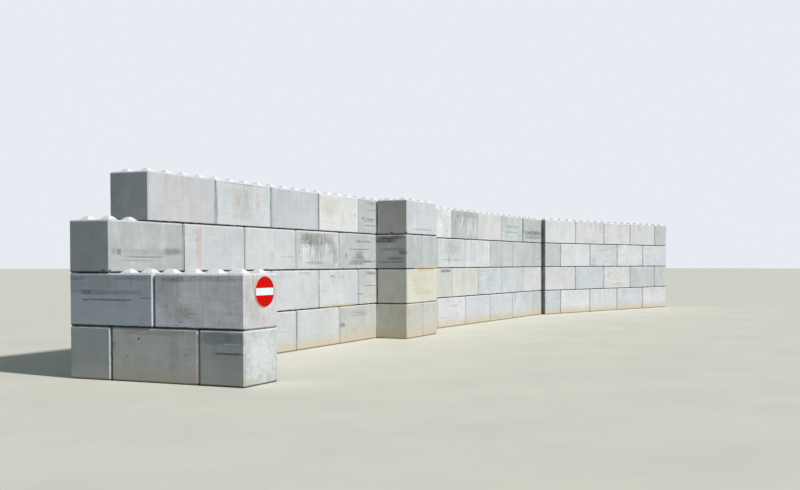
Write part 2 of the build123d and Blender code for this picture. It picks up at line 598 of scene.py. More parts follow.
def smear_group():
    """Where a stain lies: inside a soft ragged patch with round corners, broken up along its own grain."""
    recipe, given, result = new_group(
        "smear",
        {
            "Place": "Vector", "Middle": "Vector", "Half Size": "Vector", "Grain": "Vector",
            "Raggedness": "Float", "Softness": "Float", "Breaks": "Float",
        },
        {"Share": "Float"},
    )
    offset = recipe.vector("SUBTRACT", given["Place"], given["Middle"])
    shares = recipe.vector("DIVIDE", offset, given["Half Size"])
    squares = recipe.vector("MULTIPLY", shares, shares)
    reach = recipe.math("SQRT", recipe.node("VectorMath", {0: squares}, operation="LENGTH").outputs[1])
    spot = recipe.vector("ADD", given["Place"], given["Middle"])
    spot = recipe.vector("MULTIPLY", spot, given["Grain"])
    strokes = recipe.noise(spot, 1.0, 4, 0.6, 0.2)
    reach = recipe.total(reach, recipe.sway(strokes, given["Raggedness"]))
    inside = recipe.rise(reach, recipe.less(1.0, given["Softness"]), 1.0, 1.0, 0.0)
    fine_strokes = recipe.drawn_noise(spot, (2.3, 2.3, 2.3), 3, 0.6)
    broken = recipe.rise(fine_strokes, 0.40, 0.58, recipe.less(1.0, given["Breaks"]), 1.0)
    recipe.tree.links.new(recipe.times(inside, broken), result["Share"])
    return recipe.tree


CONCRETE = concrete_group()
SMEAR = smear_group()

# How each kind of mark breaks up: its grain along X, Y and Z, raggedness, softness, breaks and depth
LINE = ((5.0, 5.0, 40.0), 0.9, 0.45, 0.40, 0.03)
BAND = ((3.0, 3.0, 26.0), 0.9, 0.50, 0.50, 0.03)
STREAK = ((26.0, 26.0, 2.2), 1.0, 0.65, 0.90, 0.03)
RILLS = ((22.0, 22.0, 1.1), 1.2, 0.60, 1.00, 0.03)
DRIPS = ((15.0, 15.0, 0.9), 1.4, 0.50, 1.00, 0.03)
BLOB = ((9.0, 9.0, 9.0), 1.4, 0.90, 0.30, 0.03)
PATCH = ((14.0, 14.0, 14.0), 1.4, 0.55, 0.50, 0.03)
SPECKLE = ((17.0, 17.0, 17.0), 1.2, 0.60, 1.00, 0.03)
LEDGE = ((3.0, 3.0, 30.0), 0.5, 0.40, 0.10, 0.04)
EDGE = ((9.0, 9.0, 3.0), 0.7, 0.60, 0.40, 0.04)
SHADE = ((2.0, 2.0, 6.0), 0.8, 0.45, 0.15, 0.03)
WASH = ((2.0, 2.0, 2.0), 0.0, 0.05, 0.15, 0.006)

# Far more than a block, for a mark that covers the whole face
ALL = 9.0

FACES = ("front", "back", "left", "right")


def on_face(face, along, up, half_along, half_up, depth, end):
    """The middle and half size of a mark on an upright face of a block with its ends that far out."""
    if face in ("front", "back"):
        side = -HALF_WIDTH if face == "front" else HALF_WIDTH
        return (along, side, up), (half_along, depth, half_up)
    side = -end if face == "left" else end
    return (side, along, up), (depth, half_along, half_up)


def principled(material, colour, roughness, height, specular=0.25):
    """Gives a material its shader, with colour, roughness and bump from the recipe."""
    recipe = Recipe(material.node_tree)
    bump = recipe.node("Bump", {"Strength": 1.0, "Distance": 1.0, "Height": height})
    inputs = {
        "Base Color": colour, "Roughness": roughness, "Normal": bump.outputs[0],
        "Specular IOR Level": specular,
    }
    shader = recipe.node("BsdfPrincipled", inputs)
    recipe.node("OutputMaterial", {"Surface": shader.outputs[0]})


def new_material(name):
    material = bpy.data.materials.new(name)
    material.use_nodes = True
    material.node_tree.nodes.clear()
    return material


def block_finish(name, where, end, finish):
    """Cast concrete with one block's own shade, wear and marks, laid out from where the block stands."""
    finish = {**PLAIN, **finish}
    material = new_material(name)
    recipe = Recipe(material.node_tree)
    wall_place = recipe.node("TexCoord").outputs["Object"]
    turned = {"Vector": wall_place, "Location": where.to_translation(), "Rotation": where.to_euler()}
    place = recipe.node("Mapping", turned, vector_type="TEXTURE").outputs[0]
    inputs = {
        "Place": place, "Seed": [random.uniform(-40, 40) for _ in range(3)],
        "Colour": (*finish["colour"], 1), "Ground Height": recipe.parts(wall_place)[2],
        "Half Length": end, **{label.capitalize(): finish[label] for label in PLAIN},
    }
    concrete = recipe.node("Group", inputs, node_tree=CONCRETE)
    colour = concrete.outputs["Colour"]
    for face in (label for label in finish if label in FACES):
        for stain, strength, (grain, ragged, soft, breaks, depth), *extent in finish[face]:
            middle, half_size = on_face(face, *extent, depth, end)
            inputs = {
                "Place": place, "Middle": middle, "Half Size": half_size, "Grain": grain,
                "Raggedness": ragged, "Softness": soft, "Breaks": breaks,
            }
            smear = recipe.node("Group", inputs, node_tree=SMEAR)
            colour = recipe.blend(recipe.times(smear.outputs["Share"], strength), colour, stain)
    principled(material, colour, concrete.outputs["Roughness"], concrete.outputs["Height"])
    return material


# The stones and the fine mortar that show where concrete is broken, painted dark: partly the broken stone,
# partly painted shade in the chips and holes
DARK_STONE = (0.13, 0.13, 0.12, 1)
PALE_STONE = (0.30, 0.29, 0.27, 1)
MORTAR = (0.14, 0.14, 0.13, 1)
BREAK_RELIEF = 0.004


def broken_finish():
    """Rough dark concrete with pale and dark stones, inside chips and holes; its darkness is partly painted
    shade.
    """
    material = new_material("broken_concrete_in_shade")
    recipe = Recipe(material.node_tree)
    spot = recipe.node("TexCoord").outputs["Object"]
    stones = recipe.node("TexVoronoi", {"Vector": spot, "Scale": 70.0})
    shade = recipe.parts(stones.outputs["Color"])[0]
    colour = recipe.blend(recipe.rise(shade, 0.3, 0.9), DARK_STONE, PALE_STONE)
    fine = recipe.noise(spot, 160.0, 3, 0.6)
    colour = recipe.blend(recipe.rise(fine, 0.45, 0.75, 0.0, 0.5), colour, MORTAR)
    height = recipe.times(recipe.less(fine, stones.outputs["Distance"]), BREAK_RELIEF)
    principled(material, colour, roughness=0.95, height=height)
    return material


broken_concrete_in_shade = broken_finish()

# Shades, wear and marks of the blocks; among the marks are painted shade and painted light. A mark on a face
# has a colour, a strength and a kind, then how far along and up from the block's middle and foot it lies,
# and half its length and height.

FINISHES = {
    # Bay 1, top course
    "bay1_course4_block1": dict(colour=(0.60, 0.595, 0.60), wear=0.2, bloom=0.2, gap=0.0, left=[
        # Painted shade: a bluish dark wash over the whole shaded left end
        (DAMP_AND_PAINTED_SHADE, 0.52, WASH, 0.00, 0.40, ALL, ALL),
    ]),
    "bay1_course4_block2": dict(colour=(0.655, 0.675, 0.685), gap=0.9, front=[
        (OCHRE, 0.40, STREAK, -0.08, 0.46, 0.34, 0.44),
        (OCHRE, 0.40, STREAK, -0.28, 0.46, 0.13, 0.42),
        (GRIME_AND_PAINTED_SHADE, 0.50, STREAK, -0.75, 0.36, 0.03, 0.40),
        (GRIME_AND_PAINTED_SHADE, 0.40, STREAK, 0.76, 0.40, 0.03, 0.40),
        (GRIME_AND_PAINTED_SHADE, 0.30, RILLS, -0.02, 0.44, 0.30, 0.42),
        (RUST, 0.58, SPECKLE, 0.37, 0.47, 0.075, 0.30),
        (GRIME_AND_PAINTED_SHADE, 0.50, BLOB, 0.587, 0.29, 0.02, 0.025),
        (SOOT_AND_PAINTED_SHADE, 0.35, LINE, 0.05, 0.765, 0.70, 0.012),
    ]),
    "bay1_course4_block3": dict(colour=(0.60, 0.61, 0.63), runs=0.2, reach=0.9, bloom=0.1, gap=0.3),
    "bay1_course4_block4": dict(
        colour=(0.77, 0.765, 0.74), runs=0.10, reach=0.8, bloom=0.3, gap=0.75,
        front=[
            (OCHRE, 0.40, STREAK, -0.35, 0.52, 0.42, 0.28),
            (OCHRE, 0.30, STREAK, 0.35, 0.55, 0.34, 0.22),
            (GRIME_AND_PAINTED_SHADE, 0.30, EDGE, 0.155, 0.38, 0.020, 0.20),
            (GRIME_AND_PAINTED_SHADE, 0.60, BAND, 0.64, 0.400, 0.07, 0.025),
            (NUB_HIGHLIGHT_AND_STREAK_WHITE, 1.00, EDGE, 0.69, 0.27, 0.035, 0.13),
        ],
    ),
    "bay1_course4_block5": dict(colour=(0.535, 0.555, 0.545), bands=0.3, front=[
        (OCHRE, 0.75, BAND, 0.10, 0.765, 0.32, 0.022),
        (GRIME_AND_PAINTED_SHADE, 0.55, BAND, 0.13, 0.70, 0.28, 0.035),
        (GRIME_AND_PAINTED_SHADE, 0.95, PATCH, -0.20, 0.35, 0.06, 0.045),
        (GRIME_AND_PAINTED_SHADE, 0.60, BAND, 0.15, 0.34, 0.26, 0.030),
        (GRIME_AND_PAINTED_SHADE, 0.55, LINE, 0.05, 0.29, 0.28, 0.018),
        (GRIME_AND_PAINTED_SHADE, 0.85, LINE, 0.13, 0.20, 0.30, 0.018),
        (GRIME_AND_PAINTED_SHADE, 0.60, LINE, 0.10, 0.55, 0.30, 0.012),
    ]),
    # Bay 1, third course
    "bay1_course3_block1": dict(
        colour=(0.475, 0.495, 0.48), bands=0.12, runs=0.0, gap=0.0,
        # Painted shade: a bluish dark wash over the whole shaded left end
        left=[(DAMP_AND_PAINTED_SHADE, 0.25, WASH, 0.00, 0.40, ALL, ALL)],
        front=[
            (GRIME_AND_PAINTED_SHADE, 0.90, PATCH, -0.60, 0.32, 0.060, 0.055),
            (GRIME_AND_PAINTED_SHADE, 0.55, BAND, -0.70, 0.33, 0.06, 0.055),
            (GRIME_AND_PAINTED_SHADE, 0.70, PATCH, 0.54, 0.33, 0.26, 0.06),
            (GRIME_AND_PAINTED_SHADE, 0.45, RILLS, 0.54, 0.33, 0.28, 0.08),
            (GRIME_AND_PAINTED_SHADE, 0.30, BAND, -0.05, 0.32, 0.60, 0.07),
            (GRIME_AND_PAINTED_SHADE, 0.90, LINE, -0.03, 0.243, 0.55, 0.013),
            (GRIME_AND_PAINTED_SHADE, 0.55, LINE, -0.27, 0.19, 0.42, 0.012),
        ],
    ),
    "bay1_course3_block2": dict(colour=(0.63, 0.635, 0.64), gap=0.95, front=[
        (RUST, 0.65, SPECKLE, -0.43, 0.42, 0.095, 0.44),
    ]),
    "bay1_course3_block3": dict(colour=(0.66, 0.675, 0.67), front=[
        (GRIME_AND_PAINTED_SHADE, 0.50, STREAK, 0.00, 0.30, 0.05, 0.12),
        (GRIME_AND_PAINTED_SHADE, 0.35, LINE, 0.50, 0.27, 0.30, 0.012),
    ]),
    "bay1_course3_block4": dict(colour=(0.64, 0.645, 0.63), pits=1.0, front=[
        (SILT_AND_PAINTED_SHADE, 0.60, BAND, -0.03, 0.71, 0.76, 0.06),
        (GRIME_AND_PAINTED_SHADE, 0.68, DRIPS, -0.12, 0.63, 0.62, 0.15),
        (GRIME_AND_PAINTED_SHADE, 0.70, DRIPS, -0.37, 0.44, 0.42, 0.34),
        (GRIME_AND_PAINTED_SHADE, 0.75, STREAK, -0.36, 0.42, 0.42, 0.34),
        (LIME_AND_PAINTED_HIGHLIGHT, 0.80, DRIPS, -0.36, 0.32, 0.38, 0.24),
        (LIME_AND_PAINTED_HIGHLIGHT, 0.75, SPECKLE, -0.50, 0.36, 0.24, 0.30),
        (GRIME_AND_PAINTED_SHADE, 0.45, RILLS, 0.05, 0.40, 0.24, 0.30),
        (GRIME_AND_PAINTED_SHADE, 0.55, PATCH, 0.40, 0.61, 0.22, 0.09),
        (GRIME_AND_PAINTED_SHADE, 0.45, PATCH, 0.54, 0.45, 0.20, 0.16),
        (GRIME_AND_PAINTED_SHADE, 0.50, PATCH, 0.62, 0.26, 0.12, 0.18),
        (GRIME_AND_PAINTED_SHADE, 0.45, BAND, -0.10, 0.15, 0.50, 0.035),
        (SILT_AND_PAINTED_SHADE, 0.35, BAND, 0.30, 0.08, 0.46, 0.06),
        (LIME_AND_PAINTED_HIGHLIGHT, 0.95, BLOB, 0.66, 0.11, 0.04, 0.05),
    ]),
    "bay1_course3_block5": dict(colour=(0.545, 0.56, 0.55), bands=0.2, front=[
        (GRIME_AND_PAINTED_SHADE, 0.90, PATCH, -0.02, 0.63, 0.09, 0.035),
        (GRIME_AND_PAINTED_SHADE, 0.55, BAND, 0.30, 0.63, 0.34, 0.028),
        (GRIME_AND_PAINTED_SHADE, 0.95, LINE, 0.03, 0.452, 0.54, 0.014),
        (GRIME_AND_PAINTED_SHADE, 0.80, PATCH, -0.53, 0.30, 0.035, 0.09),
        (GRIME_AND_PAINTED_SHADE, 0.65, BLOB, 0.02, 0.32, 0.24, 0.13),
        (GRIME_AND_PAINTED_SHADE, 0.60, BLOB, 0.02, 0.25, 0.38, 0.08),
        (GRIME_AND_PAINTED_SHADE, 0.90, BAND, 0.16, 0.175, 0.64, 0.034),
        (GRIME_AND_PAINTED_SHADE, 0.85, LINE, -0.10, 0.125, 0.42, 0.020),
    ]),
    # Bay 1, second course
    "bay1_course2_block1": dict(colour=(0.64, 0.65, 0.64), gap=0.0),
    "bay1_course2_block2": dict(colour=(0.66, 0.68, 0.67)),
    "bay1_course2_block3": dict(colour=(0.65, 0.66, 0.66), bloom=0.15, runs=0.05, front=[
        (GRIME_AND_PAINTED_SHADE, 0.40, BAND, 0.30, 0.74, 0.24, 0.02),
    ]),
    "bay1_course2_block4": dict(colour=(0.655, 0.67, 0.67), gap=0.85, front=[
        (OCHRE, 0.65, STREAK, -0.24, 0.60, 0.15, 0.15),
        (GRIME_AND_PAINTED_SHADE, 0.85, PATCH, -0.28, 0.665, 0.09, 0.022),
        (GRIME_AND_PAINTED_SHADE, 0.35, BAND, 0.05, 0.65, 0.14, 0.03),
        (SAND, 0.85, LEDGE, 0.00, 0.035, 0.78, 0.035),
    ]),
    "bay1_course2_block5": dict(colour=(0.60, 0.61, 0.585), bands=0.3, front=[
        (GRIME_AND_PAINTED_SHADE, 0.70, BAND, 0.15, 0.71, 0.26, 0.05),
        (GRIME_AND_PAINTED_SHADE, 0.85, LINE, 0.10, 0.43, 0.30, 0.014),
        (GRIME_AND_PAINTED_SHADE, 0.70, LINE, -0.30, 0.25, 0.18, 0.018),
        (SAND, 0.40, BLOB, 0.10, 0.25, 0.34, 0.22),
        (OCHRE, 0.60, BAND, 0.05, 0.19, 0.34, 0.028),
    ]),
    # Bay 1, bottom course
    "bay1_course1_block1": dict(
        colour=(0.475, 0.515, 0.505), bloom=0.0, runs=0.15, sand=0.4, gap=0.0,
        # Painted light: the foot of the shaded left end is lightened, standing in for light thrown up from
        # the ground
        left=[(DUST_AND_PAINTED_LIGHT, 0.30, SHADE, 0.00, 0.06, 0.60, 0.24)],
    ),
    "bay1_course1_block2": dict(colour=(0.64, 0.65, 0.62), sand=0.8),
    "bay1_course1_block3": dict(colour=(0.64, 0.65, 0.62), sand=0.8),
    "bay1_course1_block4": dict(colour=(0.635, 0.65, 0.63), sand=0.9, gap=0.6),
    "bay1_course1_block5": dict(colour=(0.58, 0.575, 0.53), bands=0.3, sand=0.9, front=[
        (GRIME_AND_PAINTED_SHADE, 0.75, LINE, -0.07, 0.635, 0.42, 0.014),
        (GRIME_AND_PAINTED_SHADE, 0.70, LINE, 0.05, 0.585, 0.42, 0.014),
        (GRIME_AND_PAINTED_SHADE, 0.50, LINE, -0.12, 0.675, 0.30, 0.010),
        (GRIME_AND_PAINTED_SHADE, 0.90, PATCH, -0.68, 0.40, 0.12, 0.07),
    ]),
    # Wing
    "wing_course2_block1": dict(
        colour=(0.535, 0.60, 0.64), bloom=0.05, runs=0.15, wear=0.65, gap=0.0,
        front=[
            (GRIME_AND_PAINTED_SHADE, 0.22, SHADE, -0.42, 0.66, 0.62, 0.18),
            (SOOT_AND_PAINTED_SHADE, 0.30, BAND, -0.63, 0.725, 0.20, 0.04),
            (SOOT_AND_PAINTED_SHADE, 0.30, BAND, 0.40, 0.725, 0.42, 0.04),
            (SOOT_AND_PAINTED_SHADE, 0.36, BAND, 0.00, 0.515, 0.84, 0.045),
            (SOOT_AND_PAINTED_SHADE, 0.50, BAND, -0.46, 0.515, 0.12, 0.040),
            (SOOT_AND_PAINTED_SHADE, 0.62, LINE, 0.00, 0.404, 0.56, 0.020),
            (SOOT_AND_PAINTED_SHADE, 0.50, BAND, -0.48, 0.400, 0.07, 0.018),
            (SOOT_AND_PAINTED_SHADE, 0.50, LINE, 0.66, 0.440, 0.12, 0.014),
        ],
    ),
    "wing_course2_block2": dict(
        # Painted light: the pale colour stands in for light thrown up from the ground onto the shaded front
        colour=(0.84, 0.83, 0.86), mottling=2.2, runs=0.15, bloom=0.35, pits=1.0, wear=0.6, gap=1.0,
        front=[
            (GRIME_AND_PAINTED_SHADE, 0.20, SHADE, -0.58, 0.56, 0.36, 0.30),
            (SOOT_AND_PAINTED_SHADE, 0.30, BAND, 0.00, 0.72, 0.80, 0.06),
            (SOOT_AND_PAINTED_SHADE, 0.25, PATCH, -0.50, 0.71, 0.26, 0.04),
            (SOOT_AND_PAINTED_SHADE, 0.65, STREAK, 0.34, 0.71, 0.016, 0.055),
            (SOOT_AND_PAINTED_SHADE, 0.55, STREAK, -0.29, 0.725, 0.013, 0.045),
            (OCHRE, 0.45, PATCH, -0.30, 0.24, 0.19, 0.12),
            (SOOT_AND_PAINTED_SHADE, 0.28, SPECKLE, -0.28, 0.26, 0.24, 0.14),
            (SOOT_AND_PAINTED_SHADE, 0.45, BAND, -0.11, 0.225, 0.08, 0.016),
            (SOOT_AND_PAINTED_SHADE, 0.55, LINE, -0.31, 0.10, 0.04, 0.012),
            (LIME_AND_PAINTED_HIGHLIGHT, 0.55, PATCH, 0.27, 0.175, 0.07, 0.045),
            (SOOT_AND_PAINTED_SHADE, 0.50, STREAK, 0.36, 0.10, 0.012, 0.06),
        ],
        right=[
            (OCHRE, 0.20, RILLS, 0.00, 0.40, 0.60, 0.80),
            (OCHRE, 0.40, STREAK, 0.05, 0.40, 0.60, 0.80),
            # Grey wash that takes the painted light of the pale colour back off the lit end
            (GRIME_AND_PAINTED_SHADE, 0.24, WASH, 0.00, 0.40, ALL, ALL),
            (DUST_AND_PAINTED_LIGHT, 0.75, BAND, 0.00, 0.02, 0.46, 0.02),
            (GRIME_AND_PAINTED_SHADE, 0.25, RILLS, -0.18, 0.50, 0.20, 0.40),
        ],
    ),
    "wing_course1_block1": dict(
        colour=(0.65, 0.645, 0.60), mottling=1.7, pits=1.0, sand=0.60, wear=0.6, gap=1.0,
        front=[
            # Painted light: the lower part is lightened, standing in for light thrown up from the ground
            # onto the shaded front
            (DUST_AND_PAINTED_LIGHT, 0.24, SHADE, 0.10, 0.08, 1.00, 0.24),
            (SOOT_AND_PAINTED_SHADE, 0.28, BAND, 0.00, 0.74, 0.80, 0.05),
            (SOOT_AND_PAINTED_SHADE, 0.55, PATCH, -0.745, 0.53, 0.03, 0.07),
            (SOOT_AND_PAINTED_SHADE, 0.45, BLOB, -0.49, 0.38, 0.05, 0.05),
            (SOOT_AND_PAINTED_SHADE, 0.35, BLOB, 0.58, 0.42, 0.05, 0.04),
        ],
    ),
    "wing_course1_block2": dict(
        colour=(0.485, 0.52, 0.495), runs=0.1, bloom=0.1, sand=0.3, wear=0.6, gap=1.0,
        front=[
            (DAMP_AND_PAINTED_SHADE, 0.50, SHADE, -0.10, 0.69, 0.34, 0.11),
            (DAMP_AND_PAINTED_SHADE, 0.45, SHADE, 0.22, 0.67, 0.24, 0.12),
            (SOOT_AND_PAINTED_SHADE, 0.75, LINE, 0.12, 0.47, 0.34, 0.018),
            (LIME_AND_PAINTED_HIGHLIGHT, 0.55, LINE, 0.19, 0.605, 0.19, 0.012),
        ],
        right=[(LIME_AND_PAINTED_HIGHLIGHT, 0.70, BLOB, 0.00, 0.45, 0.60, 0.60)],
    ),
    # Pier
    "pier_course4_front": dict(
        colour=(0.65, 0.66, 0.68), bloom=0.3, gap=0.0,
        front=[
            (OCHRE, 0.80, STREAK, -0.30, 0.46, 0.04, 0.20),
            (GRIME_AND_PAINTED_SHADE, 0.40, BAND, 0.00, 0.13, 0.60, 0.03),
        ],
        left=[
            # Painted shade: dark washes over the whole shaded left end, and a near-black line in the joint
            # at its back arris
            (GRIME_AND_PAINTED_SHADE, 0.46, WASH, 0.00, 0.40, ALL, ALL),
            (SILT_AND_PAINTED_SHADE, 0.45, WASH, 0.00, 0.40, ALL, ALL),
            (SOOT_AND_PAINTED_SHADE, 0.90, EDGE, 0.385, 0.40, 0.016, 0.45),
        ],
    ),
    "pier_course3_left": dict(
        colour=(0.535, 0.55, 0.535), gap=0.0,
        back=[
            # Painted shade: a dark wash over the whole shaded back face, under its own sooty bands
            (GRIME_AND_PAINTED_SHADE, 0.40, WASH, 0.00, 0.40, ALL, ALL),
            (SOOT_AND_PAINTED_SHADE, 0.80, BAND, -0.22, 0.67, 0.36, 0.07),
            (SOOT_AND_PAINTED_SHADE, 0.70, BAND, -0.38, 0.73, 0.40, 0.05),
            (SOOT_AND_PAINTED_SHADE, 0.60, BAND, -0.69, 0.385, 0.14, 0.07),
            (SOOT_AND_PAINTED_SHADE, 0.40, BAND, -0.38, 0.46, 0.40, 0.04),
            (SOOT_AND_PAINTED_SHADE, 0.55, BAND, -0.50, 0.25, 0.30, 0.045),
            (SOOT_AND_PAINTED_SHADE, 0.55, BAND, -0.38, 0.17, 0.40, 0.022),
        ],
        left=[(SAND, 0.85, LEDGE, -0.32, 0.03, 0.44, 0.09)],
    ),
    "pier_course3_right": dict(colour=(0.55, 0.58, 0.56), left=[
        (SAND, 0.85, LEDGE, 0.02, 0.03, 0.56, 0.08),
    ]),
    "pier_course2_front": dict(
        colour=(0.73, 0.71, 0.60), runs=0.0, gap=0.0,
        left=[
            # Painted shade: a bluish dark wash over the whole shaded left end, and a near-black line in the
            # joint at its back arris
            (DAMP_AND_PAINTED_SHADE, 0.32, WASH, 0.00, 0.40, ALL, ALL),
            (SOOT_AND_PAINTED_SHADE, 0.90, EDGE, 0.385, 0.40, 0.016, 0.45),
        ],
        front=[
            (SAND, 0.40, BAND, 0.05, 0.42, 0.84, 0.34),
            (SAND, 0.85, LEDGE, 0.17, 0.79, 0.62, 0.04),
            (SAND, 0.45, BAND, 0.10, 0.25, 0.60, 0.06),
            (OCHRE, 0.85, LEDGE, 0.00, 0.00, 0.90, 0.03),
        ],
    ),
    "pier_course1_left": dict(colour=(0.61, 0.595, 0.51), sand=1.0, gap=0.0, back=[
        (OCHRE, 0.60, BLOB, -0.60, 0.60, 0.30, 0.30),
    ]),
    "pier_course1_right": dict(colour=(0.61, 0.60, 0.53), sand=1.0),
    # Bay 2: the number of the block comes after the node's name
    "bay2_course4_2": dict(colour=(0.78, 0.77, 0.75), bloom=0.7, runs=0.2, mottling=2.0, front=[
        (LIME_AND_PAINTED_HIGHLIGHT, 0.90, PATCH, -0.70, 0.64, 0.06, 0.07),
        (LIME_AND_PAINTED_HIGHLIGHT, 0.80, PATCH, -0.35, 0.60, 0.14, 0.05),
    ]),
    "bay2_course4_3": dict(colour=(0.51, 0.525, 0.53), runs=0.40, bands=0.3, pits=1.0, front=[
        (GRIME_AND_PAINTED_SHADE, 0.75, DRIPS, 0.00, 0.45, 0.85, 0.42),
        (LIME_AND_PAINTED_HIGHLIGHT, 0.75, DRIPS, 0.10, 0.36, 0.80, 0.36),
        (OCHRE, 0.60, BAND, 0.00, 0.72, 0.85, 0.06),
    ]),
    "bay2_course4_4": dict(colour=(0.685, 0.685, 0.66), runs=0.0),
    "bay2_course4_5": dict(colour=(0.59, 0.63, 0.63), bands=0.5, mottling=1.6, front=[
        (GRIME_AND_PAINTED_SHADE, 0.60, BAND, 0.00, 0.47, 0.62, 0.025),
        (GRIME_AND_PAINTED_SHADE, 0.60, BAND, -0.10, 0.30, 0.60, 0.025),
    ]),
    "bay2_course4_6": dict(colour=(0.53, 0.54, 0.53), bands=0.3, gap=0.9, front=[
        (GRIME_AND_PAINTED_SHADE, 0.95, BAND, 0.05, 0.32, 0.90, 0.09),
        (GRIME_AND_PAINTED_SHADE, 0.70, BAND, 0.05, 0.18, 0.80, 0.06),
        (GRIME_AND_PAINTED_SHADE, 0.70, STREAK, -0.75, 0.45, 0.04, 0.40),
    ]),
    "bay2_course3_2": dict(colour=(0.67, 0.705, 0.69), runs=0.3, front=[
        (GRIME_AND_PAINTED_SHADE, 0.40, STREAK, -0.15, 0.40, 0.10, 0.44),
        (GRIME_AND_PAINTED_SHADE, 0.30, RILLS, 0.10, 0.55, 0.60, 0.30),
        (GRIME_AND_PAINTED_SHADE, 0.45, BAND, 0.00, 0.23, 0.80, 0.028),
    ]),
    "bay2_course3_3": dict(colour=(0.71, 0.73, 0.725), runs=0.3, reach=0.9),
    "bay2_course2_2": dict(colour=(0.65, 0.66, 0.61), front=[(GRIME_AND_PAINTED_SHADE, 0.90, BAND, 0.45, 0.73, 0.34, 0.05)]),
    "bay2_course2_3": dict(colour=(0.685, 0.68, 0.61)),
}

# Shades of the blocks that have no finish of their own
PALES = ((0.66, 0.67, 0.68), (0.62, 0.65, 0.66), (0.70, 0.70, 0.67), (0.57, 0.59, 0.58), (0.73, 0.73, 0.73))

# Bay 3: the end that stands out from bay 2 is painted shade, a near-black wash over the whole end face
for course in range(1, WALL_COURSES + 1):
    FINISHES[f"bay3_course{course}_1"] = dict(
        colour=PALES[course], sand=0.9, gap=0.0, left=[(SOOT_AND_PAINTED_SHADE, 0.78, WASH, 0.00, 0.40, ALL, ALL)]
    )


def usual_finish():
    """A finish for a block whose own one isn't given, like those beside it."""
    return {
        "colour": random.choice(PALES),
        "mottling": random.uniform(0.7, 1.4),
        "bloom": random.uniform(0.0, 0.45),
        "runs": random.choice((0.05, 0.12, 0.35)),
        "reach": random.uniform(0.4, 1.0),
        "bands": random.choice((0.05, 0.15, 0.40)),
        "sand": 0.9,
    }


# Broken corners and arrises: place from the block's middle and foot, and half size of what broke off
CHIPS = {
    "bay1_course3_block1": [
        ((-0.795, -0.27, 0.0), (0.03, 0.05, 0.06)),
        ((-0.78, -0.39, 0.01), (0.03, 0.03, 0.045)),
    ],
    "bay1_course4_block1": [((-0.795, 0.20, 0.0), (0.03, 0.06, 0.06))],
    "pier_course4_front": [
        ((-0.795, 0.0, 0.0), (0.03, 0.05, 0.07)),
        ((-0.795, -0.36, 0.0), (0.03, 0.03, 0.08)),
    ],
    "wing_course1_block1": [
        ((0.795, -0.39, 0.60), (0.020, 0.020, 0.08)),
        ((0.790, -0.39, 0.40), (0.012, 0.014, 0.05)),
        ((0.790, -0.39, 0.17), (0.014, 0.014, 0.06)),
        ((-0.790, -0.395, 0.26), (0.020, 0.020, 0.06)),
        ((-0.790, -0.395, 0.55), (0.014, 0.014, 0.05)),
    ],
    "wing_course2_block1": [((0.785, -0.39, 0.01), (0.04, 0.02, 0.02))],
    "wing_course1_block2": [
        ((0.39, -0.385, 0.66), (0.014, 0.014, 0.05)),
        ((0.39, -0.385, 0.21), (0.012, 0.012, 0.04)),
    ],
}

# Bored holes: place from the block's middle and foot, diameter and depth
HOLES = {"wing_course1_block1": ((-0.282, -0.395, 0.638), 0.032, 0.05)}

# Blocks whose front face lies a little behind its neighbour's
SET_BACK = {
    "wing_course2_block2": 0.008,
    "wing_course1_block1": 0.008,
    "wing_course1_block2": 0.004,
    "bay1_course4_block2": 0.006,
    "bay1_course3_block2": 0.005,
    "bay1_course2_block4": 0.006,
}


# Layout of the wall


def run_of_wall(x, y, angle=0.0):
    """The frame of a run: X along it, Y towards its back, its front lower corner at x, y."""
    return Matrix.Translation((x, y, 0)) @ Matrix.Rotation(angle, 4, "Z")


def course_bond(start, end, first=FULL):
    """The blocks that fill the cells from start to end, as (start cell, cells long)."""
    bond = []
    cells = first
    while start < end:
        cells = min(cells, end - start)
        bond.append((start, cells))
        start += cells
        cells = FULL
    return bond


def seat(run, start, cells, course, row=0, across=False):
    """Where a block stands: on its course, from its start cell along the run or across it."""
    wide, deep = (1, cells) if across else (cells, 1)
    middle = ((start + wide / 2) * CELL, (row + deep / 2) * CELL, (course - 1) * COURSE)
    turn = Matrix.Rotation(pi / 2 if across else 0.0, 4, "Z")
    return run @ Matrix.Translation(middle) @ turn


def place_block(name, where, cells, grid):
    """One cast block in its place, with its own wear and finish."""
    master = masters[cells, grid]
    block = master.copy()
    block.data = master.data.copy()
    block.name = name
    bpy.context.collection.objects.link(block)
    if name in SET_BACK:
        draw_back(block, SET_BACK[name])
    block.data.transform(where)
    weather(block)
    finish = FINISHES.get(name) or usual_finish()
    block.data.materials.clear()
    block.data.materials.append(block_finish("concrete_" + name, where, half_length(cells), finish))
    for place, size in CHIPS.get(name, ()):
        spall(block, where @ Vector(place), size)
    if name in HOLES:
        place, diameter, depth = HOLES[name]
        bore_hole(block, where @ Vector(place), diameter, depth)
    return block


def finish_piece(piece, node):
    """Smooths and names a piece, and puts it in the place of its node."""
    make_active(piece)
    bpy.ops.object.shade_smooth_by_angle(angle=SMOOTH_ANGLE)
    piece.name = node + "_cast"
    piece.data.name = piece.name
    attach(piece, "root")
    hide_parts(node)


def lone_block(node, where, cells):
    """A block that is a node of its own."""
    finish_piece(place_block(node, where, cells, NEAR_GRID), node)


def whole_course(node, run, course, bond):
    """One course of a far bay, its blocks joined as one piece."""
    blocks = [
        place_block(f"{node}_{number}", seat(run, start, cells, course), cells, FAR_GRID)
        for number, (start, cells) in enumerate(bond, 1)
    ]
    deselect_all()
    for block in blocks:
        block.select_set(True)
    bpy.context.view_layer.objects.active = blocks[0]
    bpy.ops.object.join()
    finish_piece(blocks[0], node)


corner = -CELL / 2

